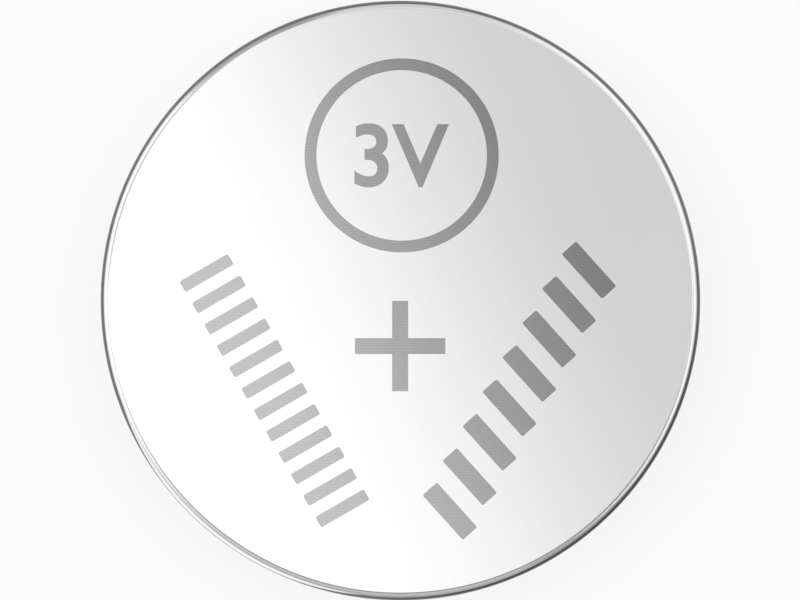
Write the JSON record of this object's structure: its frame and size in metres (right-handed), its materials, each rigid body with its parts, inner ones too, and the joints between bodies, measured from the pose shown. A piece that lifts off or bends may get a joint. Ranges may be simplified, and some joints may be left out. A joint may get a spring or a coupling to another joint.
{
  "type": "lithium coin cell",
  "caption": "Flat round lithium coin cell: a drawn steel can crimped over a gasket and a smaller stepped cap, with its stack of inner discs.",
  "frame": {"origin": "centre of the negative contact face, which is the plane that the cell rests on", "axes": "+Z along the cell's axis, from the negative contact face to the positive face; +Y towards the top of the positive face's markings"},
  "size_m": [0.02, 0.02, 0.0032],
  "materials": {
    "can_steel": "satin nickel plate on drawn stainless steel",
    "cap_steel": "satin nickel plate with a finely matted contact face",
    "gasket_polypropylene": "moulded, sealed with bitumen",
    "lithium_metal": "dull rolled strip",
    "separator_felt": "nonwoven polypropylene fibre",
    "cathode_mix": "pressed manganese dioxide and carbon powder",
    "grid_steel": "plain expanded stainless steel"
  },
  "bodies": {
    "root": {"positive_can": "can_steel", "sealing_gasket": "gasket_polypropylene", "negative_cap": "cap_steel", "lithium_anode": "lithium_metal", "separator": "separator_felt", "cathode_pellet": "cathode_mix", "collector_grid": "grid_steel"}
  },
  "joints": []
}
